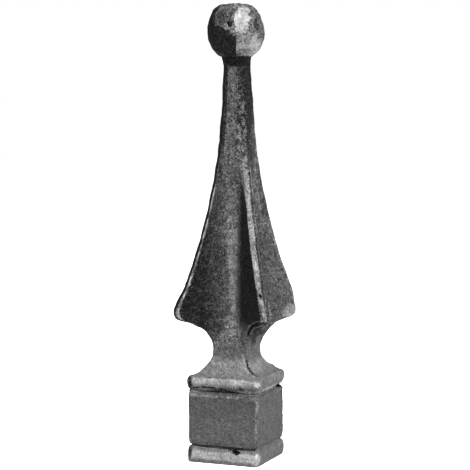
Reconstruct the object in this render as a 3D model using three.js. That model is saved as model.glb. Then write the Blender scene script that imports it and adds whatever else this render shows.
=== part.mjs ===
import * as THREE from "three";

// A cast fence finial, made in one piece. A square base, with a half-round band above and
// below a flat panel, draws in through a hollow to a square neck. Four wings stand over the
// base's corners, sweep up into a slim square shaft, and the shaft flares out under a ball.
// Millimetres, Z up, the middle of the flat underside at the origin, base faces along X and Y.

// Base
const panelHalf = 12.2; // axis to the flat of the panel
const bandHalf = 12.6; // axis to the crown of a band
const footHalf = 12.25; // axis to the lower band's edge on the ground
const grooveHalf = 11.65; // axis to the bottom of a groove
const baseCorner = 1.0; // radius of the base's upright corners
const lowerBandHeight = 5.3;
const lowerCrownHeight = 2.7; // from the ground to the lower band's widest line
const grooveWidth = 0.6;
const panelHeight = 18.2;
const panelEase = 0.6; // height over which the panel's edge rounds in
const upperBandHeight = 3.8;

// Neck
const neckHalf = 6.1; // axis to the neck's flat side
const neckCorner = 0.47; // radius of the neck's upright corners
const neckHollow = 8.6; // radius of the hollow between the upper band and the neck
const neckLength = 0.7; // the straight stretch above the hollow

// Wings
const wingReach = 21.6; // axis to the shoulder, where the long sweep starts
const wingRise = 13.7; // from the top of the neck to the shoulder
const wingThickness = 2.2; // across a wing's outer edge
const wingRoot = 2.8; // across a wing where its sides turn into the valleys
const wingBow = 0.12; // how far the outer edge is crowned
const wingNose = 3.2; // length of the rounding each side of the tip
const wingLean = THREE.MathUtils.degToRad(23); // the sweep's slope at the shoulder
const underReach = 12.2; // half widths of the hollow below a wing
const underRise = 9.6;
const underSlope = THREE.MathUtils.degToRad(15); // where the hollow runs straight to the tip

// Valleys between the wings
const valleyHalf = 3.4; // axis to the valley's floor, level with the shoulders
const valleySlope = 0.034; // how fast the floor moves out with height
const valleyRun = 16; // height over which the valleys open above the neck
const valleyBlend = 0.9; // softness of the change from valley to flat-sided shaft

// Shaft and ball
const sweepHeight = 80.4; // from the shoulders to the top of the shaft
const sweepPull = 41.5; // how far the sweep holds its lean, and then its uprightness
const shaftPull = 18.3;
const shaftReach = 4.56; // axis to the shaft's corner at its top
const shaftTaper = THREE.MathUtils.degToRad(3.2);
const collarReach = 5; // axis to the rim of the flare under the ball
const collarHeight = 3.2;
const collarRoundness = 0.6; // from 0, as square as the shaft, to 1, round
const ballRadius = 9.4;
const ballCrown = 9.33; // from the ball's widest line to its flattened top
const ballFlat = 3.3; // radius of the flattened top

// Fineness of the surface
const cornerSteps = 4; // across each corner or wing edge
const flankSteps = 4; // from that edge to the middle of a face

const { lerp, smoothstep } = THREE.MathUtils;
const point = (out, z) => new THREE.Vector2(out, z);
const neckReach = cornerOf(neckHalf, neckCorner).reach;

// Heights, each worked out from the one below
const panelFoot = lowerBandHeight + grooveWidth;
const panelTop = panelFoot + panelHeight;
const upperBandFoot = panelTop + grooveWidth;
const upperBandTop = upperBandFoot + upperBandHeight;
const hollowTurn = Math.acos(1 - Math.min(1, (grooveHalf - neckHalf) / neckHollow));
const neckFoot = upperBandTop + neckHollow * Math.sin(hollowTurn);
const neckTop = neckFoot + neckLength;
const shoulderHeight = neckTop + wingRise;
const shaftTop = shoulderHeight + sweepHeight;
const collarTop = shaftTop + collarHeight;
const ballMiddle = collarTop + Math.sqrt(ballRadius ** 2 - collarReach ** 2);
const ballTop = ballMiddle + ballCrown;

// How a square of this half side, with its corners rounded, meets the diagonal: how far out
// the corner lies, half the width of its rounding, and how far the rounding bulges.
function cornerOf(half, radius) {
  return {
    reach: Math.SQRT2 * half - (Math.SQRT2 - 1) * radius,
    edge: radius * Math.SQRT1_2,
    bow: radius * (1 - Math.SQRT1_2),
  };
}

// A level of the base or the neck: a square with rounded corners.
function squareLevel(half, z, radius) {
  return { z, ...cornerOf(half, radius), valley: half, root: radius, round: 0 };
}

// The smaller of two distances, with a soft change from one to the other.
function softMin(a, b, blend) {
  if (blend === 0) return Math.min(a, b);
  const share = THREE.MathUtils.clamp(0.5 + (b - a) / (2 * blend), 0, 1);
  return lerp(b, a, share) - blend * share * (1 - share);
}

// A level of the wings and the shaft: four wing edges on the diagonals, with a valley or,
// higher up, a flat face between them.
function wingLevel(reach, z) {
  const opened = smoothstep(z, neckTop, neckTop + valleyRun);
  const grown = Math.sqrt(smoothstep(z, neckTop, neckTop + underRise));
  const neck = cornerOf(neckHalf, neckCorner);
  const edge = lerp(neck.edge, wingThickness / 2, grown);
  const bow = lerp(neck.bow, wingBow, grown);
  const face = (reach - bow + edge) * Math.SQRT1_2;
  const open = valleyHalf + valleySlope * (z - shoulderHeight);
  const floor = lerp(neckHalf, open, opened);
  const valley = softMin(face, floor, valleyBlend * opened);
  return { z, reach, edge, bow, valley, root: lerp(neckCorner, wingRoot / 2, grown), round: 0 };
}

// A round level of the ball.
function ballLevel(radius, z) {
  return { ...wingLevel(radius, z), round: 1 };
}

// One quarter of a level, from the middle of one face round its corner to the next face,
// in the corner's own frame, with the diagonal along X.
function quarterOf({ reach, edge, bow, valley, root }) {
  const mouth = point(reach - bow, edge);
  const middle = point(valley * Math.SQRT1_2, valley * Math.SQRT1_2);
  const foot = point(Math.SQRT2 * valley - root, root);
  const flank = new THREE.CubicBezierCurve(
    mouth,
    mouth.clone().lerp(foot, 0.92),
    middle.clone().lerp(foot, 0.8),
    middle,
  );
  const side = flank.getPoints(flankSteps);
  const corner = [];
  for (let i = 1; i < cornerSteps; i++) {
    const across = (2 * i) / cornerSteps - 1;
    corner.push(point(reach - bow * across ** 2, edge * across));
  }
  const lower = side.map((p) => point(p.x, -p.y)).reverse();
  return [...lower, ...corner, ...side.slice(0, -1)];
}

// All the points round a level, as a closed ring.
function ringOf(level) {
  const quarter = quarterOf(level);
  const ring = [];
  for (let corner = 0; corner < 4; corner++) {
    const diagonal = Math.PI / 4 + (corner * Math.PI) / 2;
    quarter.forEach((p, i) => {
      const turned = p.clone().rotateAround(point(0, 0), diagonal);
      const angle = diagonal + (i / quarter.length - 0.5) * (Math.PI / 2);
      const circle = point(level.reach * Math.cos(angle), level.reach * Math.sin(angle));
      const place = turned.lerp(circle, level.round);
      ring.push(new THREE.Vector3(place.x, place.y, level.z));
    });
  }
  return ring;
}

// Points along several curves, end to end, without the doubled ones where they join.
function along(curves) {
  return curves.flatMap(([curve, steps], i) => curve.getPoints(steps).slice(i ? 1 : 0));
}

// The base and the neck: distance from the axis to the middle of a face, against height.
function baseLevels() {
  const quarter = Math.PI / 2;
  const bandDepth = bandHalf - grooveHalf;
  const panelDepth = panelHalf - grooveHalf;
  const upperMiddle = upperBandFoot + upperBandHeight / 2;
  const bandFoot = new THREE.QuadraticBezierCurve(
    point(footHalf, 0),
    point(bandHalf, lowerCrownHeight / 3),
    point(bandHalf, lowerCrownHeight),
  );
  const bandTop = new THREE.EllipseCurve(
    grooveHalf, lowerCrownHeight, bandDepth, lowerBandHeight - lowerCrownHeight, 0, quarter,
  );
  const groove = new THREE.LineCurve(point(grooveHalf, lowerBandHeight), point(grooveHalf, panelFoot));
  const easeIn = new THREE.EllipseCurve(
    grooveHalf, panelFoot + panelEase, panelDepth, panelEase, -quarter, 0,
  );
  const panel = new THREE.LineCurve(
    point(panelHalf, panelFoot + panelEase),
    point(panelHalf, panelTop - panelEase),
  );
  const easeOut = new THREE.EllipseCurve(
    grooveHalf, panelTop - panelEase, panelDepth, panelEase, 0, quarter,
  );
  const upperGroove = new THREE.LineCurve(
    point(grooveHalf, panelTop),
    point(grooveHalf, upperBandFoot),
  );
  const upperBand = new THREE.EllipseCurve(
    grooveHalf, upperMiddle, bandDepth, upperBandHeight / 2, -quarter, quarter,
  );
  const hollow = new THREE.EllipseCurve(
    neckHalf + neckHollow, neckFoot, neckHollow, neckHollow, Math.PI + hollowTurn, Math.PI, true,
  );
  const profile = along([
    [bandFoot, 3],
    [bandTop, 4],
    [groove, 1],
    [easeIn, 3],
    [panel, 1],
    [easeOut, 3],
    [upperGroove, 1],
    [upperBand, 8],
    [hollow, 9],
  ]);
  return profile.map((p) => {
    const narrowed = smoothstep(p.y, upperBandTop, neckFoot);
    return squareLevel(p.x, p.y, lerp(baseCorner, neckCorner, narrowed));
  });
}

// The wings and the shaft: distance from the axis to a wing's edge, against height.
function wingLevels() {
  const turn = Math.atan(underRise / (underReach * Math.tan(underSlope)));
  const under = new THREE.EllipseCurve(
    neckReach + underReach, neckTop, underReach, underRise, Math.PI, Math.PI - turn, true,
  );
  const down = point(Math.sin(wingLean), -Math.cos(wingLean));
  const inward = point(-Math.cos(underSlope), -Math.sin(underSlope));
  const shoulder = point(wingReach, shoulderHeight);
  const tip = shoulder.clone().addScaledVector(down, wingNose);
  const noseFoot = tip.clone().addScaledVector(inward, wingNose);
  const nose = new THREE.CubicBezierCurve(
    noseFoot,
    noseFoot.clone().lerp(tip, 0.6),
    shoulder.clone().lerp(tip, 0.6),
    shoulder,
  );
  const top = point(shaftReach, shaftTop);
  const sweep = new THREE.CubicBezierCurve(
    shoulder,
    shoulder.clone().addScaledVector(down, -sweepPull),
    top.clone().add(point(Math.sin(shaftTaper), -Math.cos(shaftTaper)).multiplyScalar(shaftPull)),
    top,
  );
  const run = new THREE.LineCurve(under.getPoint(1), noseFoot);
  const profile = along([[under, 9], [run, 2], [nose, 6], [sweep, 16]]);
  return profile.map((p) => wingLevel(p.x, p.y));
}

// The flare and the ball.
function topLevels() {
  const flare = new THREE.QuadraticBezierCurve(
    point(shaftReach, shaftTop),
    point(shaftReach, shaftTop + collarHeight / 3),
    point(collarReach, collarTop),
  );
  const rim = Math.acos(collarReach / ballRadius);
  const lowerBall = new THREE.EllipseCurve(0, ballMiddle, ballRadius, ballRadius, -rim, 0);
  const upperBall = new THREE.CubicBezierCurve(
    point(ballRadius, ballMiddle),
    point(ballRadius, ballMiddle + ballCrown * 0.55),
    point(lerp(ballFlat, ballRadius, 0.62), ballTop),
    point(ballFlat, ballTop),
  );
  const flared = flare.getPoints(4).slice(1).map((p) => {
    const climbed = (p.y - shaftTop) / collarHeight;
    return { ...wingLevel(p.x, p.y), round: collarRoundness * climbed };
  });
  const ball = along([[lowerBall, 6], [upperBall, 7]]).slice(1);
  return [...flared, ...ball.map((p) => ballLevel(p.x, p.y))];
}

// A closed skin over a stack of levels, from the ground up, with a flat cap at each end.
function loft(levels) {
  const rings = levels.map(ringOf);
  const round = rings[0].length;
  const ends = [levels[0].z, levels.at(-1).z].map((z) => new THREE.Vector3(0, 0, z));
  const vertices = [...rings.flat(), ...ends];
  const [bottom, top] = [vertices.length - 2, vertices.length - 1];
  const faces = [];
  for (let i = 0; i < round; i++) {
    const next = (i + 1) % round;
    for (let level = 0; level < rings.length - 1; level++) {
      const low = level * round;
      const high = low + round;
      faces.push(low + i, low + next, high + next);
      faces.push(low + i, high + next, high + i);
    }
    const last = (rings.length - 1) * round;
    faces.push(bottom, next, i);
    faces.push(top, last + i, last + next);
  }
  const geometry = new THREE.BufferGeometry().setFromPoints(vertices);
  geometry.setIndex(faces);
  geometry.computeVertexNormals();
  return geometry;
}

const castIron = new THREE.MeshStandardMaterial({ color: 0x6c6c6b, roughness: 0.55, metalness: 0.85 });

const finial = new THREE.Mesh(loft([...baseLevels(), ...wingLevels(), ...topLevels()]), castIron);
finial.name = "finial";

const fenceFinial = new THREE.Group();
fenceFinial.add(finial);

export default fenceFinial;
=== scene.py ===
import math

import bpy
import numpy as np
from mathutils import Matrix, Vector, noise


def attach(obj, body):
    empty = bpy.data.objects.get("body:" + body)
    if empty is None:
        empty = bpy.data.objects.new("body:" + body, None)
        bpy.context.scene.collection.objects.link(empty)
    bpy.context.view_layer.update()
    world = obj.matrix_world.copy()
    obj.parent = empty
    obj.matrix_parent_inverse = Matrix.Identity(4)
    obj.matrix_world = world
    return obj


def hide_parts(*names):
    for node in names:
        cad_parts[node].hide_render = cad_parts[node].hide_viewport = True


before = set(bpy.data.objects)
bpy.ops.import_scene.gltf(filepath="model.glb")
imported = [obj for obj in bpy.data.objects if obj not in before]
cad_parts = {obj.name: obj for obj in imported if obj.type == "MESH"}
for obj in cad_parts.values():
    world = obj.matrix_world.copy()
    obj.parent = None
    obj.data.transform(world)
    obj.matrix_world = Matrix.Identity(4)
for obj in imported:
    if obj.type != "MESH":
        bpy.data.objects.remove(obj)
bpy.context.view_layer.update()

# the casting's sizes, in metres, as the solid has them
cast = {
    "panelHalf": 0.0122, "bandHalf": 0.0126, "footHalf": 0.01225, "grooveHalf": 0.01165,
    "baseCorner": 0.001, "lowerBandHeight": 0.0053, "lowerCrownHeight": 0.0027,
    "grooveWidth": 0.0006, "panelHeight": 0.0182, "panelEase": 0.0006, "upperBandHeight": 0.0038,
    "neckHalf": 0.0061, "neckCorner": 0.00047, "neckHollow": 0.0086, "neckLength": 0.0007,
    "wingReach": 0.0216, "wingRise": 0.0137, "wingThickness": 0.0022, "wingRoot": 0.0028,
    "wingBow": 0.00012, "wingNose": 0.0032, "wingLean": math.radians(23),
    "underReach": 0.0122, "underRise": 0.0096, "underSlope": math.radians(15),
    "valleyHalf": 0.0034, "valleySlope": 0.034, "valleyRun": 0.016, "valleyBlend": 0.0009,
    "sweepHeight": 0.0804, "sweepPull": 0.0415, "shaftPull": 0.0183, "shaftReach": 0.00456,
    "shaftTaper": math.radians(3.2), "collarReach": 0.005, "collarHeight": 0.0032,
    "collarRoundness": 0.6, "ballRadius": 0.0094, "ballCrown": 0.00933, "ballFlat": 0.0033,
}

# how fine the skin is
skin = {
    "baseStep": 0.00030, "wingStep": 0.00050, "shaftStep": 0.00055, "ballStep": 0.00046,
    "cornerSteps": 10, "flankSteps": 25,
}

photoTurn = math.radians(22.1)  # how far round from the base's front face the photograph looks

# where the heights fall, each worked out from the one below
panelFoot = cast["lowerBandHeight"] + cast["grooveWidth"]
panelTop = panelFoot + cast["panelHeight"]
upperBandFoot = panelTop + cast["grooveWidth"]
upperBandTop = upperBandFoot + cast["upperBandHeight"]
hollowTurn = math.acos(1 - (cast["grooveHalf"] - cast["neckHalf"]) / cast["neckHollow"])
neckFoot = upperBandTop + cast["neckHollow"] * math.sin(hollowTurn)
neckTop = neckFoot + cast["neckLength"]
shoulderHeight = neckTop + cast["wingRise"]
shaftTop = shoulderHeight + cast["sweepHeight"]
collarTop = shaftTop + cast["collarHeight"]
ballMiddle = collarTop + math.sqrt(cast["ballRadius"] ** 2 - cast["collarReach"] ** 2)
ballTop = ballMiddle + cast["ballCrown"]


def smooth(x, low, high):
    t = np.clip((x - low) / (high - low), 0, 1)
    return t * t * (3 - 2 * t)


def mix(a, b, share):
    return a + (b - a) * share


def between(values, low, high, soft):
    return smooth(values, low - soft, low + soft) * (1 - smooth(values, high - soft, high + soft))


# the same curves as the solid's, walked at even steps
def evenly(points, step):
    length = np.concatenate([[0], np.cumsum(np.linalg.norm(np.diff(points, axis=0), axis=1))])
    count = max(1, round(length[-1] / step))
    at = np.linspace(0, length[-1], count + 1)
    return np.stack([np.interp(at, length, points[:, k]) for k in range(2)], 1)


def arc(middle, across, rise, start, end):
    turn = np.linspace(start, end, 200)
    return np.stack([middle[0] + across * np.cos(turn), middle[1] + rise * np.sin(turn)], 1)


def bend(points):
    t = np.linspace(0, 1, 400)[:, None]
    p = np.array(points)
    if len(points) == 3:
        return (1 - t) ** 2 * p[0] + 2 * t * (1 - t) * p[1] + t ** 2 * p[2]
    return (1 - t) ** 3 * p[0] + 3 * t * (1 - t) ** 2 * p[1] + 3 * t ** 2 * (1 - t) * p[2] + t ** 3 * p[3]


def straight(a, b):
    return np.array([a, b], float)


def joined(parts, step):
    walked = [evenly(p, step) for p in parts]
    return np.concatenate([walked[0]] + [w[1:] for w in walked[1:]])


# a level is how its corners and faces lie: reach and edge of the corner, valley of the face
def squareCorner(half, radius):
    return {
        "reach": math.sqrt(2) * half - (math.sqrt(2) - 1) * radius,
        "edge": radius * math.sqrt(0.5),
        "bow": radius * (1 - math.sqrt(0.5)),
    }


def softMin(a, b, blend):
    width = np.maximum(blend, 1e-9)
    share = np.clip(0.5 + (b - a) / (2 * width), 0, 1)
    return mix(b, a, share) - blend * share * (1 - share)


def baseLevels():
    quarter = math.pi / 2
    band = cast["bandHalf"] - cast["grooveHalf"]
    panel = cast["panelHalf"] - cast["grooveHalf"]
    out, ease, crown = cast["grooveHalf"], cast["panelEase"], cast["lowerCrownHeight"]
    upperMiddle = upperBandFoot + cast["upperBandHeight"] / 2
    profile = joined([
        bend([(cast["footHalf"], 0), (cast["bandHalf"], crown / 3), (cast["bandHalf"], crown)]),
        arc((out, crown), band, cast["lowerBandHeight"] - crown, 0, quarter),
        straight((out, cast["lowerBandHeight"]), (out, panelFoot)),
        arc((out, panelFoot + ease), panel, ease, -quarter, 0),
        straight((cast["panelHalf"], panelFoot + ease), (cast["panelHalf"], panelTop - ease)),
        arc((out, panelTop - ease), panel, ease, 0, quarter),
        straight((out, panelTop), (out, upperBandFoot)),
        arc((out, upperMiddle), band, cast["upperBandHeight"] / 2, -quarter, quarter),
        arc((cast["neckHalf"] + cast["neckHollow"], neckFoot), cast["neckHollow"], cast["neckHollow"],
            math.pi + hollowTurn, math.pi),
    ], skin["baseStep"])
    half, z = profile.T
    radius = mix(cast["baseCorner"], cast["neckCorner"], smooth(z, upperBandTop, neckFoot))
    return {"z": z, **squareCorner(half, radius), "valley": half, "root": radius, "round": 0 * z}


def wingLevels(reach, z):
    opened = smooth(z, neckTop, neckTop + cast["valleyRun"])
    grown = np.sqrt(smooth(z, neckTop, neckTop + cast["underRise"]))
    neck = squareCorner(cast["neckHalf"], cast["neckCorner"])
    edge = mix(neck["edge"], cast["wingThickness"] / 2, grown)
    bow = mix(neck["bow"], cast["wingBow"], grown)
    face = (reach - bow + edge) * math.sqrt(0.5)
    floor = mix(cast["neckHalf"], cast["valleyHalf"] + cast["valleySlope"] * (z - shoulderHeight), opened)
    valley = softMin(face, floor, cast["valleyBlend"] * opened)
    root = mix(cast["neckCorner"], cast["wingRoot"] / 2, grown)
    return {"z": z, "reach": reach, "edge": edge, "bow": bow, "valley": valley, "root": root,
            "round": 0 * z}


def wingProfile():
    turn = math.atan(cast["underRise"] / (cast["underReach"] * math.tan(cast["underSlope"])))
    neckReach = squareCorner(cast["neckHalf"], cast["neckCorner"])["reach"]
    under = arc((neckReach + cast["underReach"], neckTop), cast["underReach"], cast["underRise"],
                math.pi, math.pi - turn)
    down = np.array([math.sin(cast["wingLean"]), -math.cos(cast["wingLean"])])
    inward = -np.array([math.cos(cast["underSlope"]), math.sin(cast["underSlope"])])
    shoulder = np.array([cast["wingReach"], shoulderHeight])
    tip = shoulder + down * cast["wingNose"]
    noseFoot = tip + inward * cast["wingNose"]
    nose = bend([noseFoot, mix(noseFoot, tip, 0.6), mix(shoulder, tip, 0.6), shoulder])
    top = np.array([cast["shaftReach"], shaftTop])
    taper = np.array([math.sin(cast["shaftTaper"]), -math.cos(cast["shaftTaper"])])
    sweep = bend([shoulder, shoulder - down * cast["sweepPull"], top + taper * cast["shaftPull"], top])
    lower = joined([under, straight(under[-1], noseFoot), nose], skin["wingStep"] * 0.8)
    return np.concatenate([lower, evenly(sweep, skin["shaftStep"])[1:]])


def topLevels():
    collar = bend([
        (cast["shaftReach"], shaftTop), (cast["shaftReach"], shaftTop + cast["collarHeight"] / 3),
        (cast["collarReach"], collarTop),
    ])
    flare = evenly(collar, skin["baseStep"])[1:]
    rim = math.acos(cast["collarReach"] / cast["ballRadius"])
    r, flat, crown = cast["ballRadius"], cast["ballFlat"], cast["ballCrown"]
    ball = joined([
        arc((0, ballMiddle), r, r, -rim, 0),
        bend([(r, ballMiddle), (r, ballMiddle + crown * 0.55), (mix(flat, r, 0.62), ballTop),
              (flat, ballTop)]),
        straight((flat, ballTop), (flat / 8, ballTop)),
    ], skin["ballStep"])[1:]
    reach, z = np.concatenate([flare, ball]).T
    levels = wingLevels(reach, z)
    climbed = (z - shaftTop) / cast["collarHeight"]
    levels["round"] = np.where(np.arange(len(z)) < len(flare), cast["collarRoundness"] * climbed, 1.0)
    return levels


# one quarter of every level, from the middle of one face round its corner to the next
def quarters(levels):
    root2 = math.sqrt(2)
    mouth = np.stack([levels["reach"] - levels["bow"], levels["edge"]], 1)
    middle = np.stack([levels["valley"] / root2] * 2, 1)
    foot = np.stack([root2 * levels["valley"] - levels["root"], levels["root"]], 1)
    hold = [mouth, mix(mouth, foot, 0.92), mix(middle, foot, 0.8), middle]
    t = np.linspace(0, 1, 90)[None, :, None]
    h = [p[:, None, :] for p in hold]
    dense = (1 - t) ** 3 * h[0] + 3 * t * (1 - t) ** 2 * h[1] + 3 * t ** 2 * (1 - t) * h[2] + t ** 3 * h[3]
    length = np.cumsum(np.linalg.norm(np.diff(dense, axis=1), axis=2), axis=1)
    side = np.empty((len(mouth), skin["flankSteps"] + 1, 2))
    for k, row in enumerate(length):
        walked = np.concatenate([[0], row])
        at = np.linspace(0, walked[-1], skin["flankSteps"] + 1)
        for axis in range(2):
            side[k, :, axis] = np.interp(at, walked, dense[k, :, axis])
    across = np.linspace(-1, 1, skin["cornerSteps"] + 1)[None, 1:-1]
    corner = np.stack([
        levels["reach"][:, None] - levels["bow"][:, None] * across ** 2,
        levels["edge"][:, None] * across,
    ], 2)
    lower = side[:, ::-1] * np.array([1, -1])
    return np.concatenate([lower, corner, side[:, :-1]], axis=1)


def rings(levels):
    quarter = quarters(levels)
    steps = quarter.shape[1]
    turned = []
    for k in range(4):
        diagonal = math.pi / 4 + k * math.pi / 2
        cosine, sine = math.cos(diagonal), math.sin(diagonal)
        x = quarter[:, :, 0] * cosine - quarter[:, :, 1] * sine
        y = quarter[:, :, 0] * sine + quarter[:, :, 1] * cosine
        angle = diagonal + (np.arange(steps) / steps - 0.5) * math.pi / 2
        share = levels["round"][:, None]
        x = mix(x, levels["reach"][:, None] * np.cos(angle), share)
        y = mix(y, levels["reach"][:, None] * np.sin(angle), share)
        turned.append(np.stack([x, y, np.repeat(levels["z"][:, None], steps, 1)], 2))
    return np.concatenate(turned, axis=1)


print("working out the casting's levels")
sweepReach, sweepZ = wingProfile().T
parts = [baseLevels(), wingLevels(sweepReach[1:], sweepZ[1:]), topLevels()]
levels = {key: np.concatenate([part[key] for part in parts]) for key in parts[0]}
form = rings(levels)
levelCount, around = form.shape[:2]
print("levels", levelCount, "points round each", around, "triangles", 2 * levelCount * around)


def outwardOf(points):
    alongRing = np.roll(points, -1, axis=1) - np.roll(points, 1, axis=1)
    upward = np.gradient(points, axis=0)
    normal = np.cross(alongRing, upward)
    return normal / np.maximum(np.linalg.norm(normal, axis=2, keepdims=True), 1e-12)


# how sharply the surface bends, per metre: above zero where it is proud, below where hollow
def bendOf(points, outward):
    found = []
    for shift, axis in ((1, 1), (1, 0)):
        step = np.roll(points, -shift, axis=axis) - np.roll(points, shift, axis=axis)
        turn = np.roll(outward, -shift, axis=axis) - np.roll(outward, shift, axis=axis)
        bent = (step * turn).sum(2) / np.maximum((step ** 2).sum(2), 1e-10)
        if axis == 0:
            bent[0] = bent[-1] = 0
        found.append(bent)
    return np.maximum(*found), np.minimum(*found)


def noiseAt(points, size, shift=0.0):
    flat = points.reshape(-1, 3) / size + shift
    return np.array([noise.noise(Vector(p)) for p in flat]).reshape(points.shape[:-1])


def cellsAt(points, size):
    flat = points.reshape(-1, 3) / size
    return np.array([noise.voronoi(Vector(p))[0][0] for p in flat]).reshape(points.shape[:-1])


# how far to the photograph's right a point lies
def rightward(points):
    return points[:, :, 0] * math.cos(photoTurn) + points[:, :, 1] * math.sin(photoTurn)


# the casting isn't true: the shaft stands a little to one side of the base and the ball,
# one wing tip runs long and kicks up, another is blunt
untrue = {
    # the drift, to the photograph's right, at some heights
    "heights": (0.0, 0.026, 0.036, 0.044, 0.125, 0.1315, 0.1345, 0.143, 0.147, 0.150),
    "drifts": (-0.00008, -0.00008, 0.00014, 0.00024, 0.00028, 0.00014, -0.00005, -0.00012, -0.0005,
               -0.0006),
    "wingHeights": (0.045, 0.0492, 0.051, 0.0524, 0.0537, 0.055, 0.0563, 0.0576, 0.059, 0.065, 0.085, 0.105),
    # tenths of a millimetre, by the direction of the wing
    "wingGrowth": {
        45: (-5, -6, -5.5, -3.5, 1.5, 5.0, 7.0, 7.5, 6.8, 3.4, 2.8, 0),
        225: (4, 6, 7.2, 8.6, 8.8, 8.0, 6, 3.9, 2.6, 0.8, 0.5, 0),
    },
    "tipLift": 0.00045, "baseSwell": 0.019, "neckSwell": 0.022,
}


def castOutOfTrue(points):
    z = points[:, :, 2]
    drift = np.interp(z, untrue["heights"], untrue["drifts"])
    moved = points.copy()
    moved[:, :, :2] *= 1 + untrue["baseSwell"] * between(z, 0.007, 0.0235, 0.001)[:, :, None]
    moved[:, :, :2] *= 1 + untrue["neckSwell"] * between(z, 0.033, 0.043, 0.002)[:, :, None]
    moved[:, :, 0] += drift * math.cos(photoTurn)
    moved[:, :, 1] += drift * math.sin(photoTurn)
    for direction, growth in untrue["wingGrowth"].items():
        cosine, sine = math.cos(math.radians(direction)), math.sin(math.radians(direction))
        along = points[:, :, 0] * cosine + points[:, :, 1] * sine
        grown = 0.0001 * np.interp(z, untrue["wingHeights"], growth, left=0, right=0)
        grown *= smooth(along / levels["reach"][:, None], 0.5, 0.9)
        moved[:, :, 0] += grown * cosine
        moved[:, :, 1] += grown * sine
        if direction == 225:
            moved[:, :, 2] += untrue["tipLift"] * smooth(along, 0.013, 0.019) * (1 - smooth(z, 0.050, 0.055))
    return moved


# the mould's halves slipped along the near wing: its far side stands out as a second strip
slip = {"wing": 3, "step": 0.00095, "setBack": 0.00042, "foot": 0.0455, "head": 0.112}


def slipMould(points):
    diagonal = math.pi / 4 + slip["wing"] * math.pi / 2
    along = points[:, :, 0] * math.cos(diagonal) + points[:, :, 1] * math.sin(diagonal)
    across = points[:, :, 1] * math.cos(diagonal) - points[:, :, 0] * math.sin(diagonal)
    z = points[:, :, 2]
    reach = levels["reach"][:, None]
    edge = levels["edge"][:, None]
    stepped = smooth(reach - along, slip["setBack"] * 0.4, slip["setBack"] * 1.2)
    stepped *= smooth(along, reach * 0.30, reach * 0.55) * smooth(across, edge * 0.7, edge * 0.98)
    stepped *= smooth(z, slip["foot"], slip["foot"] + 0.002)
    stepped *= 1 - smooth(z, slip["head"] - 0.02, slip["head"])
    moved = points.copy()
    moved[:, :, 0] -= math.sin(diagonal) * slip["step"] * stepped
    moved[:, :, 1] += math.cos(diagonal) * slip["step"] * stepped
    return moved


# hammered flats on the ball: direction, tilt, how much is cut off
flats = [
    (-93, -14, 0.00044), (-47, -20, 0.00040), (-60, 22, 0.00022), (-104, 30, 0.00020),
    (-18, 10, 0.00012), (-8, -22, 0.00016), (-138, 2, 0.00012), (28, 4, 0.00022), (60, 24, 0.00020),
    (92, -12, 0.00030), (130, 22, 0.00020), (166, -10, 0.00024), (-168, 24, 0.00014),
]


def hammerBall(points):
    middle = np.array([0, 0, ballMiddle])
    onBall = levels["round"][:, None, None] >= 1
    moved = points.copy()
    for turn, tilt, cut in flats:
        turn, tilt = math.radians(turn), math.radians(tilt)
        facing = np.array([math.cos(turn) * math.cos(tilt), math.sin(turn) * math.cos(tilt), math.sin(tilt)])
        excess = (moved - middle) @ facing - (cast["ballRadius"] - cut)
        moved -= np.where(onBall, 0.9 * np.maximum(excess, 0)[:, :, None] * facing, 0)
    return moved


# marks in the casting: place, how wide along X, Y and Z, and depth (below zero stands proud)
marks = {
    "wingPit": ((0.0136, -0.0137, 0.0573), (0.0005, 0.0005, 0.0006), 0.0005),
    "bandPit": ((0.0047, -0.0126, 0.0043), (0.0013, 0.0012, 0.0008), 0.0010),
    "bandPitTail": ((0.0036, -0.0125, 0.0050), (0.0011, 0.0008, 0.0005), 0.0005),
    "bandNick": ((-0.0048, -0.0117, 0.0284), (0.0009, 0.0006, 0.0004), 0.0003),
    "ballPit": ((0.0014, -0.0091, 0.1449), (0.0008, 0.0008, 0.0011), 0.0007),
    "ballLip": ((0.0026, -0.0089, 0.1433), (0.0003, 0.0006, 0.0013), -0.00025),
    "slotGap": ((0.0117, 0.0077, 0.0242), (0.0008, 0.0016, 0.0005), 0.0007),
}


def marked(points):
    lift = np.zeros(points.shape[:2])
    for place, width, depth in marks.values():
        away = np.linalg.norm((points - np.array(place)) / np.array(width), axis=2)
        lift -= depth * (1 - smooth(away, 0.35, 1.0))
    return lift


# metal that filled the mould's corners: the groove under the upper band, the foot of the hollow
filled = {
    "groove": 0.00075, "grooveEnd": 0.0052, "front": 0.00035, "frontRight": 0.00030, "ease": 0.0003,
    "heights": (0.0236, 0.0242, 0.0254, 0.0262, 0.0280, 0.0300, 0.0321, 0.0342, 0.0354, 0.0370),
    # tenths of a millimetre, in the middle and at the photograph's left and right
    "middle": (0, 0, 0, 0, 1.8, 5.3, 5.2, 0.8, 0, 0),
    "left": (0, 2, 4, 2, 3.3, 6.3, 5.5, 2.5, 3, 0),
    "right": (0, 3, 2.5, 3, 6, 12, 7.5, 1, 0, 0),
}


def filledIn(points):
    x, y, z = points[:, :, 0], points[:, :, 1], points[:, :, 2]
    edge, ease = cast["grooveHalf"] - 0.0005, filled["ease"]
    side = filled["groove"] * smooth(x, edge - ease, edge + ease)
    side *= 1 - smooth(y, filled["grooveEnd"] - 0.001, filled["grooveEnd"])
    face = filled["front"] + filled["frontRight"] * smooth(x, 0.004, 0.008)
    face *= smooth(-y, edge - ease, edge + ease)
    groove = between(z, panelTop - ease, upperBandFoot + ease, ease) * np.maximum(side, face)
    sideways = rightward(points)
    middle, left, right = (np.interp(z, filled["heights"], filled[k]) for k in ("middle", "left", "right"))
    foot = mix(middle, left, smooth(-sideways, 0.006, 0.012))
    foot = mix(foot, right, smooth(sideways, 0.005, 0.010))
    return groove + 0.0001 * foot


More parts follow.
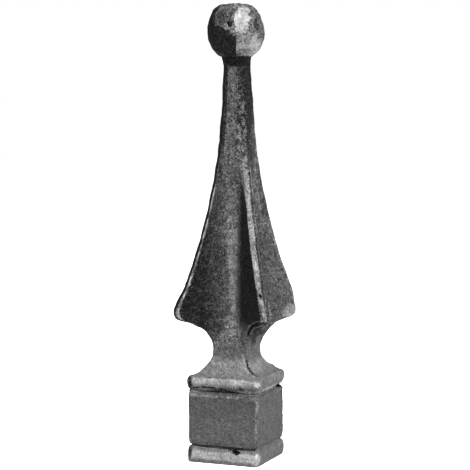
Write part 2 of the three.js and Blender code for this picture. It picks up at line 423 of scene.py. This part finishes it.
# the skin of a sand casting: name, size of the unevenness, height
skinNoise = {
    "swell": (0.0090, 0.00016),
    "lump": (0.0026, 0.00012),
    "grain": (0.0011, 0.00022),
    "waver": (0.0050, 0.00030),  # only along the edges
}
pores = {"size": 0.0012, "open": 0.32, "depth": 0.00016}
crest = {"low": 0.0226, "high": 0.0241, "depth": 0.00040}  # the panel's top edge is eased by hand


def sandSkin(points, smoothed):
    lift = np.zeros(points.shape[:2])
    for k, (size, height) in enumerate(skinNoise.values()):
        calm = (1, 1 - 0.7 * smoothed, 1 - 0.7 * smoothed, smoothed)[k]
        lift += height * calm * noiseAt(points, size, 7.3 * k)
    pore = 1 - smooth(cellsAt(points, pores["size"]), 0.0, pores["open"])
    z = points[:, :, 2]
    eased = smooth(z, crest["low"], crest["high"]) * (1 - smooth(z, crest["high"], crest["high"] + 0.0006))
    return lift - pores["depth"] * pore * (1 - 0.8 * smoothed) - crest["depth"] * eased


print("casting the form: drift, slipped mould, hammered ball")
proud, hollow = bendOf(form, outwardOf(form))
onEdge = smooth(proud, 150, 900)
form = castOutOfTrue(hammerBall(slipMould(form)))
outward = outwardOf(form)
print("roughening the skin")
lift = sandSkin(form, onEdge) + marked(form) + filledIn(form)
settle = smooth(form[:, :, 2], 0.0, 0.0006)  # the ground edge stays flat
surface = form + outward * (lift * settle)[:, :, None]
surface[:, :, 2] = np.clip(surface[:, :, 2], 0, None)

# where a point lies: height, side to side as the photograph shows it, and across a wing's edge
x, z = form[:, :, 0], form[:, :, 2]
uneven = 0.0010 * noiseAt(form, 0.0030, 31.0) + 0.0006 * noiseAt(form, 0.0012, 47.0)  # makes borders ragged
scratchy = smooth(noiseAt(form, 0.0026, 71.0), -0.35, 0.05)  # breaks up the light arrises
aside = rightward(form)
towardView = outward[:, :, 0] * math.sin(photoTurn) - outward[:, :, 1] * math.cos(photoTurn)
quarterSteps = around // 4
wingOf = np.arange(around) // quarterSteps
acrossEdge = (np.arange(around) % quarterSteps - skin["flankSteps"]) / skin["cornerSteps"] * 2 - 1


def facing(degrees):
    turn = math.radians(degrees)
    return outward[:, :, 0] * math.cos(turn) + outward[:, :, 1] * math.sin(turn)


def alongWing(degrees):
    turn = math.radians(degrees)
    return form[:, :, 0] * math.cos(turn) + form[:, :, 1] * math.sin(turn)


# a strip along a wing's edge: the edge's two sides are at -1 and 1
def edgeStrip(wing, middle, halfWidth):
    return ((wingOf == wing) & (np.abs(acrossEdge - middle) < halfWidth))[None, :]


def spot(place, radius):
    away = (np.linalg.norm(form - np.array(place), axis=2) + uneven) / radius
    return 1 - smooth(away, 0.55, 1.0)


ballFront = (z > collarTop) * smooth(towardView, -0.1, 0.1)


# a patch on the ball's front: side to side, height, half width, half height
def ballPatch(middle, height, halfWidth, halfHeight):
    away = np.hypot((aside + uneven - middle) / halfWidth, (z + uneven - height) / halfHeight)
    return ballFront * (1 - smooth(away, 0.75, 1.1))


def layered(amounts, zones):
    return np.max([amounts[name] * zone for name, zone in zones.items()], axis=0)


print("laying out the worn metal")
front = facing(-90)
wings = smooth(z, neckTop + 0.002, neckTop + 0.008)
wingFoot = smooth(z, neckTop + 0.007, neckTop + 0.009)
upperCrown = 0.84 * between(z + 0.4 * uneven, upperBandFoot + 0.0018, upperBandTop + 0.0002, 0.0006)
lowerCrown = 1.12 * between(z + 0.4 * uneven, 0.0011, cast["lowerBandHeight"] - 0.0009, 0.0006)

# metal rubbed bright, and painted light on the hollow above the upper band and in the front valley: how
# much, from 0 to 1
wearAndLight = {
    "arris": 0.16, "bandCorner": 0.55, "panelArris": 0.31, "crest": 0.31, "lowerLip": 0.30, "hollow": 0.19,
    "valley": 0.37, "valleySide": 0.28, "valleyFoot": 0.34, "slipStrip": 0.26, "rightTip": 0.40,
    "rightRoot": 0.24, "ridge": 0.32,
}
wearAndLightZones = {
    "arris": onEdge * (z < neckFoot),
    "bandCorner": np.maximum(spot((0.0126, -0.0122, 0.0268), 0.0022) * upperCrown,
                             spot((0.0126, -0.0122, 0.0028), 0.0028)),
    "panelArris": edgeStrip(3, -0.2, 0.5) * between(z, 0.0062, 0.0238, 0.0006) * mix(0.65, 1.0, scratchy),
    "crest": between(z + 0.4 * uneven, 0.0222, 0.0232, 0.0003) * smooth(front, 0.8, 0.95)
    * mix(0.7, 1.0, scratchy),
    "lowerLip": between(z, 0.0050, 0.0058, 0.0003) * smooth(x, 0.0112, 0.0116) * (front < 0.7),
    # painted light: the hollow above the upper band, its upward face lighter, more on its right side
    "hollow": between(z, upperBandTop + 0.0006, neckFoot - 0.002, 0.002)
    * mix(1.0, 1.5, smooth(facing(0), 0.3, 0.8)),
    # painted light: the front valley between the left and near wings, less higher up
    "valley": smooth(front, 0.66, 0.94) * between(z, neckTop + 0.004, 0.098, 0.006)
    * mix(1.0, 0.5, smooth(z, 0.068, 0.095)),
    # painted light: the valley's light carried onto its left side
    "valleySide": between(aside + uneven, -0.0052, 0.0002, 0.0012) * between(z, 0.044, 0.072, 0.006)
    * (front > 0.5),
    # painted light: the valley's light carried down to its foot
    "valleyFoot": smooth(front, 0.45, 0.75) * between(z + uneven, 0.0400, 0.0500, 0.003)
    * (aside < 0.001) * (1 - smooth(alongWing(-135), 0.0045, 0.0080)),
    "slipStrip": edgeStrip(3, 1.2, 0.05) * between(z, 0.047, 0.100, 0.003),
    "rightTip": spot((0.0142, 0.0128, 0.0482), 0.0044),
    "rightRoot": smooth(aside, 0.0044, 0.0056) * between(z, 0.076, 0.113, 0.005)
    * smooth(facing(-45), 0.7, 0.9),
    "ridge": between(aside, 0.0, 0.0032, 0.0004) * between(z, 0.101, 0.124, 0.003) * (towardView > 0)
    * mix(1.0, 0.6, smooth(z, 0.108, 0.116)),
}
rubbedAndLit = [layered(wearAndLight, wearAndLightZones)]

# the bands' crowns, by the direction of the face: how much, from which X on
bandWear = {-90: (0.46, -0.0108), 0: (0.10, -1), 90: (0.45, -1), 180: (0.45, -1)}
for degrees, (amount, start) in bandWear.items():
    side = smooth(facing(degrees), 0.35, 0.62) * smooth(x + uneven, start - 0.0005, start + 0.0005)
    rubbedAndLit.append(amount * side * (upperCrown + lowerCrown))

# the wings' edges, by the direction of the wing: how much, from where to where across the edge
edgeWear = {45: (0.30, -1.3, -0.6), 135: (0.40, -0.9, 0.9), 225: (0.55, 0.76, 1.24), 315: (0.37, -0.95, 0.8)}
for degrees, (amount, low, high) in edgeWear.items():
    near, left = degrees == 315, degrees == 225
    foot = 0.75 * near * (1 - smooth(z + uneven, 0.0480, 0.0590))
    inward = 0.34 * left * (1 - smooth(z, 0.048, 0.066))  # the left edge's strip lies further in at the tip
    flare = 1.7 * near * smooth(z + uneven, 0.085, 0.097)  # the near edge widens into the shaft's ridge
    faded = smooth(z + 2 * uneven, 0.097, 0.108) if near else smooth(z + 2 * uneven, 0.089, 0.103)
    strip = between(acrossEdge[None, :], low + foot + inward - flare, high + inward / 3, 0.12)
    strip *= wingFoot * (wingOf == degrees // 90) * mix(1.0, 0.12, faded) * (z < shaftTop)
    rubbedAndLit.append(amount * strip * (1 if near else mix(0.7, 1.0, scratchy)))

# patches on the ball: side to side, height, half width, half height, how much; the first is a painted
# highlight on a worn flat, the fifth painted light on the ball's lower right
ballWearAndLight = (
    (0.0019, 0.1463, 0.0030, 0.0054, 0.50), (0.0022, 0.1413, 0.0024, 0.0012, 0.26),
    (-0.0034, 0.1440, 0.0012, 0.0016, 0.26), (-0.0014, 0.1416, 0.0014, 0.0010, 0.28),
    (0.0058, 0.1380, 0.0018, 0.0030, 0.52), (-0.0048, 0.1340, 0.0030, 0.0014, 0.22),
)
for *place, amount in ballWearAndLight:
    rubbedAndLit.append(amount * ballPatch(*place))
# painted light: the ball's lower right, the side the light falls on, up to its middle
rubbedAndLit.append(0.46 * ballPatch(0.0040, 0.1376, 0.0064, 0.0046) * smooth(aside, -0.0004, 0.0))
# worn metal and painted light, gathered into one mask
wornAndLit = np.max(rubbedAndLit, axis=0)

print("laying out the black scale")
# black casting scale where the skin was never rubbed, and painted shade on sides and undersides turned from
# the light: how much, from 0 to 1
blackScaleAndShade = {
    "leftWing": 0.89, "leftEdge": 0.95, "leftShaft": 0.85, "nearFlank": 0.95, "nearUnder": 0.90,
    "slipLine": 0.85, "rightWing": 0.15, "rightEdge": 0.55, "rightShaft": 0.88, "backValley": 0.42,
    "farValley": 0.42, "collar": 1.00, "ballLow": 0.97, "ballRight": 0.75, "ballSwirl": 0.70,
    "ballLeft": 0.45, "ballBack": 0.48, "panel": 0.27, "panelFront": 0.42, "groove": 0.85,
    "neckRight": 0.75, "neckSpot": 0.85, "upperEnd": 0.95, "lowerEnd": 0.80,
}
scaleAndShadeZones = {
    # painted shade: the left wing's front flank, darker towards its outer edge
    "leftWing": wings * smooth(facing(-45), 0.8, 0.98) * (alongWing(-135) > 0)
    * mix(0.449, 1.0, smooth(alongWing(-135) + 2 * uneven, 0.005, 0.014)),
    # painted shade: the left wing's edge, which faces away from the light
    "leftEdge": wings * edgeStrip(2, -0.1, 1.15),
    # painted shade: the left side of the shaft
    "leftShaft": edgeStrip(2, 0.9, 1.6) * smooth(z, 0.096, 0.108) * (z < shaftTop),
    # painted shade: the near wing's left flank, turned from the light
    "nearFlank": smooth(facing(-135), 0.5, 0.85) * smooth(alongWing(-45), 0.0040, 0.0075)
    * between(z, 0.0455, 0.094, 0.003),
    # painted shade: the wings' undersides
    "nearUnder": wings * smooth(-outward[:, :, 2], 0.25, 0.6) * smooth(alongWing(-45), 0.006, 0.009),
    # painted shadow of the slipped step along the near wing's edge
    "slipLine": wings * edgeStrip(3, 1.0, 0.1) * (z < 0.112),
    "rightWing": wings * smooth(facing(-45), 0.8, 0.98) * (wingOf == 0),
    "rightEdge": edgeStrip(0, -1.6, 0.8) * between(z, 0.080, 0.102, 0.005),
    # painted shade: the shaft's right side, below the collar
    "rightShaft": smooth(aside + uneven - mix(0.0022, 0.0004, smooth(z, 0.116, 0.127)), 0.0, 0.0014)
    * smooth(z, 0.092, 0.114) * (z < shaftTop)
    * mix(1 - smooth(aside, 0.0042, 0.0056), 1.0, smooth(z, 0.106, 0.120)),
    "backValley": wings * smooth(facing(135), 0.5, 0.9),
    "farValley": wings * smooth(facing(45), 0.5, 0.9),
    # painted shade: the collar's downward face under the ball
    "collar": between(z, shaftTop - 0.0001, collarTop + 0.0001, 0.0004),
    # painted shade: the ball's lower left, turned from the light
    "ballLow": ballFront * smooth(0.1413 - 0.55 * aside - z - uneven, -0.0002, 0.0006)
    * smooth(-aside - 0.3 * uneven, 0.0001, 0.0004),
    "ballRight": ballPatch(0.0066, 0.1450, 0.0008, 0.0028),
    "ballSwirl": ballPatch(0.0024, 0.1370, 0.0008, 0.0010),
    # painted shade: the ball's upper left
    "ballLeft": ballPatch(-0.0052, 0.1468, 0.0040, 0.0028),
    "ballBack": (z > collarTop) * (1 - smooth(towardView, -0.1, 0.1)),
    "panel": between(z, 0.0058, 0.0236, 0.0004),
    # painted shade: the panel's front face darker than the others, most under the upper band
    "panelFront": between(z, 0.0058, 0.0236, 0.0004) * smooth(front, 0.2, 0.6)
    * mix(0.69, 1.0, smooth(z, 0.013, 0.021)),
    # painted shade: the front groove under the upper band
    "groove": between(z + 0.6 * uneven, 0.0236, upperBandFoot + 0.0010, 0.0004) * smooth(front, 0.3, 0.7)
    * mix(1.0, 0.4, smooth(x + 2 * uneven, 0.005, 0.008))
    * mix(0.35, 1.0, smooth(x + uneven, -0.006, -0.002)),
    "neckRight": spot((0.0064, -0.0010, 0.0430), 0.0055),
    "neckSpot": spot((0.0061, 0.0034, 0.0426), 0.0024),
    # painted shade: the bands' left ends, which face away from the light
    "upperEnd": spot((-0.0122, -0.0122, 0.0265), 0.0028),
    "lowerEnd": spot((-0.0122, -0.0122, 0.0030), 0.0026),
}

# where light and black skin lie mottled side by side
mottled = {"shaftFront": 0.90, "wings": 0.40, "leftWing": 0.65, "neck": 0.20}
mottledZones = {
    "shaftFront": between(aside, -0.0002, 0.0034, 0.0005) * smooth(towardView, 0.0, 0.2)
    * between(z, 0.100, shaftTop, 0.002),
    "wings": wings * (z < shaftTop) * mix(1.0, 0.25, smooth(alongWing(45), 0.004, 0.007)),
    "leftWing": wings * smooth(alongWing(-135), 0.006, 0.012) * (z < 0.100),
    "neck": between(z, 0.0345, 0.0440, 0.003) * smooth(front, 0.6, 0.9) * (1 - smooth(aside, -0.002, 0.001)),
}

# where the grain is finer and paler
calm = {"rightTip": 1.0, "rightWing": 0.50, "valley": 0.62, "base": 0.45}
calmZones = {
    "rightTip": smooth(wornAndLit, 0.25, 0.45) * (wingOf == 0),
    "rightWing": wings * smooth(facing(-45), 0.6, 0.9) * (wingOf == 0),
    "valley": wings * smooth(front, 0.5, 0.8) * smooth(aside, -0.0120, -0.0070),
    "base": 1 - smooth(z, 0.040, 0.044),
}

# where the grooves get no painted shade: both ends under the upper band, and the lower groove's right side
unshaded = {"filledEnd": 1.0, "leftEnd": 0.8, "lowerRight": 1.0}
unshadedZones = {
    "filledEnd": between(z, 0.0236, upperBandFoot + 0.0010, 0.0004) * smooth(x + uneven, 0.003, 0.006)
    * (front > 0.2),
    "leftEnd": between(z, 0.0236, upperBandFoot + 0.0002, 0.0004)
    * (1 - smooth(x + uneven, -0.0060, -0.0020)) * (front > 0.2),
    "lowerRight": between(z, 0.0046, 0.0066, 0.0004) * smooth(x, 0.0108, 0.0114) * (front < 0.7),
}

finishAt = {
    "wornAndLit": wornAndLit,
    "scaleAndShade": layered(blackScaleAndShade, scaleAndShadeZones) * (1 - 0.8 * smooth(wornAndLit, 0.3, 0.6)),
    "blotched": layered(mottled, mottledZones),
    # painted shade: darker where the surface is hollow
    "hollowShade": smooth(-hollow, 500, 1500) * (1 - layered(unshaded, unshadedZones)),
    "cavity": np.clip(0.5 - lift / 0.0006, 0, 1),
    "coarse": np.maximum(smooth(z, 0.030, 0.042), 0.25),
    "calm": np.where(z > collarTop, smooth(wornAndLit, 0.42, 0.52), layered(calm, calmZones)),
}


def buildMesh(name, points):
    count, ring = points.shape[:2]
    verts = points.reshape(-1, 3).tolist()
    bottomMiddle = len(verts)
    verts += [(0, 0, 0), (*points[-1, :, :2].mean(0), points[-1, :, 2].mean())]
    index = np.arange(count * ring).reshape(count, ring)
    after = np.roll(index, -1, axis=1)
    quads = np.stack([index[:-1], after[:-1], after[1:], index[1:]], 2).reshape(-1, 4).tolist()
    quads += [(bottomMiddle, after[0, i], index[0, i]) for i in range(ring)]
    quads += [(bottomMiddle + 1, index[-1, i], after[-1, i]) for i in range(ring)]
    mesh = bpy.data.meshes.new(name)
    mesh.from_pydata(verts, [], quads)
    mesh.update()
    for face in mesh.polygons:
        face.use_smooth = True
    return mesh


print("building the mesh")
finial = bpy.data.objects.new("castFinial", buildMesh("castFinial", surface))
for name, values in finishAt.items():
    layer = finial.data.attributes.new(name, "FLOAT", "POINT")
    layer.data.foreach_set("value", np.append(values.ravel(), (0.0, 0.0)).astype(np.float32))
bpy.context.scene.collection.objects.link(finial)


# the iron's finish
iron = {
    # tones of pits, bare grey skin, worn metal and painted light, black scale and painted shade, its flecks
    # and cracks
    "dark": 0.040, "mid": 0.218, "bright": 0.40, "scaleAndShade": 0.005, "scaleAndShadeFleck": 0.035, "crack": 0.004,
    "darkRough": 0.60, "brightRough": 0.42, "darkMetal": 0.35, "brightMetal": 0.9, "sheen": 0.07,
    # grains: how large, and from where to where their noise is spread
    "mottle": 0.0030, "mottleSpread": (0.34, 0.66), "fleck": 0.00050, "fleckSpread": (0.40, 0.63),
    "pit": 0.00085, "pitSpread": (0.55, 0.62), "blotch": 0.00105, "blotchSpread": (0.46, 0.56), "curl": 1.6,
    "bumpSize": 0.00070, "fineSize": 0.00034, "bumpHeight": 0.00060,
    "ragged": 0.0009, "raggedReach": 0.0012,  # the strokes' uneven sides
    "scratchWear": 0.42,  # how bright a scratch is rubbed
    "calmGrain": 0.4,  # how much of the grain is left on calm skin
    # dark cracks and pits: half width and the points they run through
    "cracks": (
        (0.00024, (0.0062, -0.0065, 0.0344), (0.0071, -0.0077, 0.0324), (0.0084, -0.0083, 0.0312)),
        (0.00034, (0.0084, -0.0083, 0.0312), (0.0095, -0.0088, 0.0303), (0.0106, -0.0087, 0.0295)),
        (0.00050, (0.0136, -0.0137, 0.0573), (0.0134, -0.0135, 0.0566)),
        (0.00080, (0.0043, -0.0121, 0.0045), (0.0052, -0.0121, 0.0042)),
        (0.00036, (0.0028, -0.0122, 0.0050), (0.0063, -0.0122, 0.0045)),
        (0.00022, (-0.0055, -0.0118, 0.0284), (-0.0040, -0.0116, 0.0285)),
        (0.00023, (-0.0100, -0.0126, 0.0253), (-0.0064, -0.0127, 0.0256), (-0.0032, -0.0126, 0.0255)),
        (0.00021, (-0.0006, -0.0125, 0.0251), (0.0022, -0.0124, 0.0247), (0.0046, -0.0121, 0.0244)),
        (0.00050, (0.0014, -0.0091, 0.1452), (0.0016, -0.0091, 0.1444)),
        (0.00034, (0.0123, 0.0046, 0.0243), (0.0119, 0.0078, 0.0240)),
        (0.00060, (0.0118, 0.0080, 0.0240), (0.0120, 0.0112, 0.0240)),
        (0.00040, (0.0073, -0.0086, 0.0434), (0.0085, -0.0100, 0.0450), (0.0100, -0.0115, 0.0466)),
        (0.00034, (0.0100, -0.0115, 0.0466), (0.0126, -0.0140, 0.0478), (0.0153, -0.0152, 0.0483)),
    ),
    # light scratches and arrises, laid out in the same way
    "scratches": (
        (0.00026, (0.0024, -0.0090, 0.1446), (0.0030, -0.0090, 0.1420)),
        (0.00034, (0.0076, -0.0094, 0.0459), (0.0096, -0.0111, 0.0473), (0.0126, -0.0141, 0.0484),
         (0.0150, -0.0158, 0.0490)),
        (0.00040, (0.0081, -0.0081, 0.0433), (0.0098, -0.0098, 0.0454), (0.0134, -0.0143, 0.0470)),
        (0.00040, (0.0149, -0.0122, 0.0554), (0.0154, -0.0136, 0.0527), (0.0159, -0.0147, 0.0507),
         (0.0160, -0.0148, 0.0490)),
        (0.00052, (0.0086, 0.0068, 0.0520), (0.0091, 0.0073, 0.0485), (0.0090, 0.0074, 0.0466)),
        (0.00044, (0.0045, -0.0062, 0.0358), (0.0054, -0.0067, 0.0338), (0.0066, -0.0082, 0.0317),
         (0.0078, -0.0092, 0.0306)),
        (0.00030, (0.0127, -0.0080, 0.0250), (0.0127, 0.0090, 0.0250)),
    ),
}


def ironMaterial():
    material = bpy.data.materials.new("sandCastIron")
    material.use_nodes = True
    nodes, links = material.node_tree.nodes, material.node_tree.links
    shader = nodes["Principled BSDF"]

    def put(kind, **settings):
        node = nodes.new(kind)
        for key, value in settings.items():
            setattr(node, key, value)
        return node

    def calc(operation, a, b, clamp=False):
        node = put("ShaderNodeMath", operation=operation, use_clamp=clamp)
        for socket, value in zip(node.inputs, (a, b)):
            if isinstance(value, (int, float)):
                socket.default_value = value
            else:
                links.new(value, socket)
        return node.outputs[0]

    def spread(value, low, high, toLow=0.0, toHigh=1.0):
        node = put("ShaderNodeMapRange", interpolation_type="SMOOTHSTEP")
        links.new(value, node.inputs["Value"])
        ends = {"From Min": low, "From Max": high, "To Min": toLow, "To Max": toHigh}
        for socket, number in ends.items():
            node.inputs[socket].default_value = number
        return node.outputs["Result"]

    def grain(size, detail=3.0, roughness=0.6, distortion=0.0):
        node = put("ShaderNodeTexNoise")
        links.new(place.outputs["Object"], node.inputs["Vector"])
        node.inputs["Scale"].default_value = 1 / size
        node.inputs["Detail"].default_value = detail
        node.inputs["Roughness"].default_value = roughness
        node.inputs["Distortion"].default_value = distortion
        return node.outputs["Fac"]

    def attribute(name):
        return put("ShaderNodeAttribute", attribute_name=name).outputs["Fac"]

    def mixed(share, a, b):
        node = put("ShaderNodeMix", data_type="FLOAT")
        links.new(share, node.inputs["Factor"])
        for socket, value in zip((node.inputs["A"], node.inputs["B"]), (a, b)):
            if isinstance(value, (int, float)):
                socket.default_value = value
            else:
                links.new(value, socket)
        return node.outputs["Result"]

    def vectorCalc(operation, a, b=None):
        node = put("ShaderNodeVectorMath", operation=operation)
        for socket, value in zip(node.inputs, (a, b)):
            if isinstance(value, tuple):
                socket.default_value = value
            elif value is not None:
                links.new(value, socket)
        return node

    # a point moved as the untrue casting moves it
    def drifted(point):
        drift = float(np.interp(point[2], untrue["heights"], untrue["drifts"]))
        return point[0] + drift * math.cos(photoTurn), point[1] + drift * math.sin(photoTurn), point[2]

    # how close a point is to any of some lines, from 0 to 1, with ragged sides
    def strokes(lines):
        found = None
        for halfWidth, *points in lines:
            for start, end in zip(points, points[1:]):
                way = Vector(end) - Vector(start)
                offset = vectorCalc("SUBTRACT", raggedPlace, drifted(start)).outputs["Vector"]
                along = vectorCalc("DOT_PRODUCT", offset, tuple(way.normalized())).outputs["Value"]
                along = calc("MINIMUM", calc("MAXIMUM", along, 0.0), way.length)
                nearest = vectorCalc("SCALE", tuple(way.normalized()))
                links.new(along, nearest.inputs["Scale"])
                gap = vectorCalc("SUBTRACT", offset, nearest.outputs["Vector"]).outputs["Vector"]
                away = vectorCalc("LENGTH", gap).outputs["Value"]
                near = spread(away, halfWidth * 0.6, halfWidth * 1.3, 1.0, 0.0)
                found = near if found is None else calc("MAXIMUM", found, near)
        return found

    place = put("ShaderNodeTexCoord")
    ragged = put("ShaderNodeTexNoise")
    links.new(place.outputs["Object"], ragged.inputs["Vector"])
    ragged.inputs["Scale"].default_value = 1 / iron["ragged"]
    shaken = vectorCalc("SUBTRACT", ragged.outputs["Color"], (0.5, 0.5, 0.5)).outputs["Vector"]
    shaken = vectorCalc("MULTIPLY", shaken, (iron["raggedReach"],) * 3).outputs["Vector"]
    raggedPlace = vectorCalc("ADD", place.outputs["Object"], shaken).outputs["Vector"]
    cracks, scratches = strokes(iron["cracks"]), strokes(iron["scratches"])
    wornAndLit, hollowShade, cavity, scaleAndShade = attribute("wornAndLit"), attribute("hollowShade"), attribute("cavity"), attribute("scaleAndShade")
    blotched, calm = attribute("blotched"), attribute("calm")
    coarse = calc("MULTIPLY", attribute("coarse"), mixed(calm, 1.0, iron["calmGrain"]))
    wornAndLit = calc("MULTIPLY", wornAndLit, calc("SUBTRACT", 1.0, cracks))
    wornAndLit = calc("MAXIMUM", wornAndLit, calc("MULTIPLY", scratches, iron["scratchWear"]))
    mottle = spread(grain(iron["mottle"], 4), *iron["mottleSpread"])
    fleck = spread(grain(iron["fleck"], 2, 0.6, iron["curl"]), *iron["fleckSpread"])
    pits = calc("MULTIPLY", spread(grain(iron["pit"], 3, 0.7), *iron["pitSpread"]), coarse)
    # wear and painted light take the high points first
    patchy = calc("ADD", wornAndLit, calc("MULTIPLY", calc("SUBTRACT", mottle, 0.5), 0.12))
    flecked = calc("MULTIPLY", mixed(wornAndLit, 0.34, 0.12), mixed(calm, 1.0, iron["calmGrain"]))
    patchy = calc("ADD", patchy, calc("MULTIPLY", calc("SUBTRACT", fleck, 0.5), flecked))
    rubbedAndLit = spread(calc("SUBTRACT", patchy, calc("MULTIPLY", cavity, 0.2)), 0.0, 0.9)
    # bare skin: mottle and flecks, closer to their middle tone where the grain isn't coarse
    grainTone = calc("ADD", calc("MULTIPLY", mottle, 0.14), calc("MULTIPLY", fleck, 0.86))
    grainTone = mixed(coarse, calc("ADD", calc("MULTIPLY", grainTone, 0.38), 0.31), grainTone)
    skinTone = mixed(grainTone, iron["dark"], iron["mid"])
    skinTone = mixed(calc("MULTIPLY", spread(cavity, 0.5, 1.0), coarse), skinTone, iron["dark"] * 0.8)
    skinTone = mixed(calc("MULTIPLY", pits, 0.6), skinTone, iron["scaleAndShade"])
    # black scale and painted shade take the flecked scale tone
    skinTone = mixed(scaleAndShade, skinTone, mixed(fleck, 0.001, iron["scaleAndShadeFleck"]))
    # worn metal and painted light take the bright tone
    tone = mixed(rubbedAndLit, skinTone, iron["bright"])
    tone = mixed(calc("MULTIPLY", pits, 0.2), tone, iron["dark"])
    blotches = calc("MULTIPLY", spread(grain(iron["blotch"], 2, 0.65, 0.8), *iron["blotchSpread"]), blotched)
    blotches = calc("MULTIPLY", blotches, calc("SUBTRACT", 1.0, spread(wornAndLit, 0.25, 0.40)))
    tone = mixed(blotches, tone, iron["scaleAndShade"] * 2)
    # painted shade: darker in the hollows and grooves
    tone = calc("MULTIPLY", tone, mixed(hollowShade, 1.0, 0.5))
    tone = mixed(cracks, tone, iron["crack"])
    colour = put("ShaderNodeCombineColor")
    for channel in ("Red", "Green", "Blue"):
        links.new(tone, colour.inputs[channel])
    links.new(colour.outputs["Color"], shader.inputs["Base Color"])
    black = calc("MAXIMUM", scaleAndShade, cracks)
    metal = mixed(rubbedAndLit, mixed(black, iron["darkMetal"], 0.0), iron["brightMetal"])
    links.new(calc("MULTIPLY", metal, calc("SUBTRACT", 1.0, cracks)), shader.inputs["Metallic"])
    shader.inputs["Specular IOR Level"].default_value = iron["sheen"]
    gloss = mixed(rubbedAndLit, iron["darkRough"], iron["brightRough"])
    links.new(calc("ADD", gloss, calc("MULTIPLY", fleck, 0.12)), shader.inputs["Roughness"])
    bump = put("ShaderNodeBump")
    bump.inputs["Distance"].default_value = iron["bumpHeight"]
    sandy = calc("MULTIPLY", grain(iron["bumpSize"], 2, 0.6), 0.7)
    sandy = calc("ADD", sandy, calc("MULTIPLY", grain(iron["fineSize"], 2, 0.6), 0.3))
    sandy = calc("SUBTRACT", sandy, calc("MULTIPLY", pits, 0.5))
    height = calc("MULTIPLY", sandy, mixed(wornAndLit, 1.0, 0.3))
    height = calc("SUBTRACT", height, cracks)
    links.new(height, bump.inputs["Height"])
    links.new(bump.outputs["Normal"], shader.inputs["Normal"])
    return material


print("mixing the iron's finish")
finial.data.materials.append(ironMaterial())
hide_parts("finial")
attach(finial, "root")

# the photograph's view
view = {
    "distance": 0.5333, "height": 0.1167, "aside": -0.00052, "tilt": math.radians(4.435), "lens": 122.55,
}


def aroundAxis(azimuth, distance, height):
    return Vector((distance * math.sin(azimuth), -distance * math.cos(azimuth), height))


print("placing the camera, lights and floor")
camera = bpy.data.objects.new("camera", bpy.data.cameras.new("camera"))
camera.data.lens = view["lens"]
camera.data.sensor_width = 36
camera.data.clip_start = 0.01
camera.location = aroundAxis(photoTurn, view["distance"], view["height"])
camera.location += view["aside"] * Vector((math.cos(photoTurn), math.sin(photoTurn), 0))
camera.rotation_euler = (math.pi / 2 - view["tilt"], 0, photoTurn)
bpy.context.scene.collection.objects.link(camera)
bpy.context.scene.camera = camera

# soft lights: direction from the finial, distance, side length and power
lights = {
    "key": {"azimuth": 62, "elevation": 42, "distance": 1.2, "side": 0.40, "power": 15},
    "front": {"azimuth": -18, "elevation": 36, "distance": 1.2, "side": 0.50, "power": 11},
    "right": {"azimuth": 118, "elevation": 26, "distance": 1.2, "side": 0.40, "power": 12},
}
aim = Vector((0, 0, 0.07))  # the middle of the finial
for name, light in lights.items():
    lamp = bpy.data.objects.new(name + "Light", bpy.data.lights.new(name + "Light", "AREA"))
    lamp.data.shape = "SQUARE"
    lamp.data.size = light["side"]
    lamp.data.energy = light["power"]
    flat = light["distance"] * math.cos(math.radians(light["elevation"]))
    rise = light["distance"] * math.sin(math.radians(light["elevation"]))
    lamp.location = aim + aroundAxis(math.radians(light["azimuth"]), flat, rise)
    lamp.rotation_euler = (aim - lamp.location).to_track_quat("-Z", "Y").to_euler()
    bpy.context.scene.collection.objects.link(lamp)

# pale floor, and a pale surround that lights the finial only a little
studio = {
    "floorHalf": 3.0, "floorColour": (0.88, 0.88, 0.88, 1), "floorRough": 0.9, "seen": 1.0, "ambient": 0.10,
    "sun": 4.4, "sunAzimuth": 20, "sunElevation": 62, "sunSpread": 40, "gamma": 0.72,
}
half = studio["floorHalf"]
floorMesh = bpy.data.meshes.new("floor")
floorCorners = [(-half, -half, 0), (half, -half, 0), (half, half, 0), (-half, half, 0)]
floorMesh.from_pydata(floorCorners, [], [(0, 1, 2, 3)])
floor = bpy.data.objects.new("floor", floorMesh)
bpy.context.scene.collection.objects.link(floor)
paint = bpy.data.materials.new("palePaint")
paint.use_nodes = True
coat = paint.node_tree.nodes["Principled BSDF"]
coat.inputs["Base Color"].default_value = studio["floorColour"]
coat.inputs["Roughness"].default_value = studio["floorRough"]
floor.data.materials.append(paint)

# a high broad light evens out the floor
overhead = bpy.data.objects.new("overhead", bpy.data.lights.new("overhead", "SUN"))
overhead.data.energy = studio["sun"]
overhead.data.angle = math.radians(studio["sunSpread"])
rise = math.radians(studio["sunElevation"])
fromSun = aroundAxis(math.radians(studio["sunAzimuth"]), math.cos(rise), math.sin(rise))
overhead.rotation_euler = (-fromSun).to_track_quat("-Z", "Y").to_euler()
bpy.context.scene.collection.objects.link(overhead)

world = bpy.data.worlds.new("studio")
bpy.context.scene.world = world
world.use_nodes = True
nodes, links = world.node_tree.nodes, world.node_tree.links
ambient = nodes["Background"]
ambient.inputs["Strength"].default_value = studio["ambient"]
seen = nodes.new("ShaderNodeBackground")
seen.inputs["Strength"].default_value = studio["seen"]
for background in (ambient, seen):
    background.inputs["Color"].default_value = (1, 1, 1, 1)
ray, either = nodes.new("ShaderNodeLightPath"), nodes.new("ShaderNodeMixShader")
links.new(ray.outputs["Is Camera Ray"], either.inputs["Fac"])
links.new(ambient.outputs["Background"], either.inputs[1])
links.new(seen.outputs["Background"], either.inputs[2])
links.new(either.outputs["Shader"], nodes["World Output"].inputs["Surface"])
bpy.context.scene.view_settings.view_transform = "Standard"
bpy.context.scene.view_settings.gamma = studio["gamma"]
